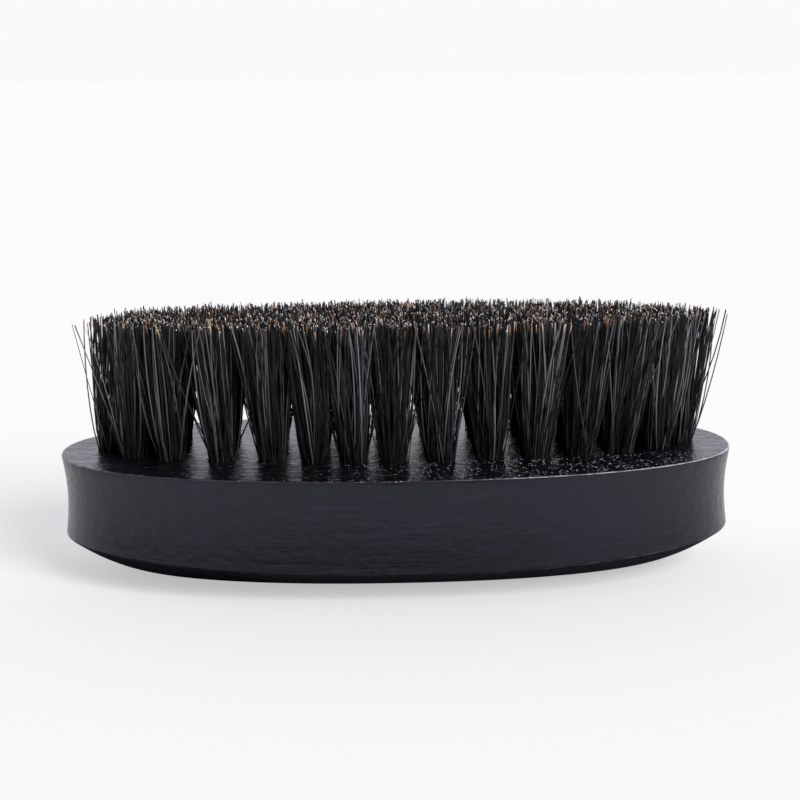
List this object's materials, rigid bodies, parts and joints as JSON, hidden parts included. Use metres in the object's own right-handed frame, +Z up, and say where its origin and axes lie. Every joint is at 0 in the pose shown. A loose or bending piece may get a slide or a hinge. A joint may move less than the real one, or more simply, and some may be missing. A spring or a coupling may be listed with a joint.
{
  "type": "beard brush",
  "caption": "Palm-sized oval beard brush: a crowned black-stained wooden block with a hollowed grip round its side, and tufts of stiff boar bristle set in its flat face.",
  "frame": {"origin": "centre of the bounding box's bottom face: under the middle of the crowned underside, on the surface that the brush rests on", "axes": "+X along the brush's length, +Y across it, +Z up out of the bristle face"},
  "size_m": [0.09, 0.045, 0.034],
  "materials": {
    "stained_wood": "black-stained hardwood under a satin clear lacquer",
    "boar_bristle": "natural black boar bristle, cut flat, with pale split tips"
  },
  "bodies": {
    "root": {"block": "stained_wood", "outer_tuft_01": "boar_bristle", "outer_tuft_02": "boar_bristle", "outer_tuft_03": "boar_bristle", "outer_tuft_04": "boar_bristle", "outer_tuft_05": "boar_bristle", "outer_tuft_06": "boar_bristle", "outer_tuft_07": "boar_bristle", "outer_tuft_08": "boar_bristle", "outer_tuft_09": "boar_bristle", "outer_tuft_10": "boar_bristle", "outer_tuft_11": "boar_bristle", "outer_tuft_12": "boar_bristle", "outer_tuft_13": "boar_bristle", "outer_tuft_14": "boar_bristle", "outer_tuft_15": "boar_bristle", "outer_tuft_16": "boar_bristle", "outer_tuft_17": "boar_bristle", "outer_tuft_18": "boar_bristle", "outer_tuft_19": "boar_bristle", "outer_tuft_20": "boar_bristle", "outer_tuft_21": "boar_bristle", "outer_tuft_22": "boar_bristle", "outer_tuft_23": "boar_bristle", "outer_tuft_24": "boar_bristle", "outer_tuft_25": "boar_bristle", "outer_tuft_26": "boar_bristle", "outer_tuft_27": "boar_bristle", "outer_tuft_28": "boar_bristle", "inner_tuft_01": "boar_bristle", "inner_tuft_02": "boar_bristle", "inner_tuft_03": "boar_bristle", "inner_tuft_04": "boar_bristle", "inner_tuft_05": "boar_bristle", "inner_tuft_06": "boar_bristle", "inner_tuft_07": "boar_bristle", "inner_tuft_08": "boar_bristle", "inner_tuft_09": "boar_bristle", "inner_tuft_10": "boar_bristle", "inner_tuft_11": "boar_bristle", "inner_tuft_12": "boar_bristle", "inner_tuft_13": "boar_bristle", "inner_tuft_14": "boar_bristle", "inner_tuft_15": "boar_bristle", "inner_tuft_16": "boar_bristle", "inner_tuft_17": "boar_bristle", "inner_tuft_18": "boar_bristle", "inner_tuft_19": "boar_bristle", "inner_tuft_20": "boar_bristle", "inner_tuft_21": "boar_bristle", "inner_tuft_22": "boar_bristle", "middle_tuft_01": "boar_bristle", "middle_tuft_02": "boar_bristle", "middle_tuft_03": "boar_bristle", "middle_tuft_04": "boar_bristle", "middle_tuft_05": "boar_bristle", "middle_tuft_06": "boar_bristle", "middle_tuft_07": "boar_bristle", "middle_tuft_08": "boar_bristle", "middle_tuft_09": "boar_bristle"}
  },
  "joints": []
}
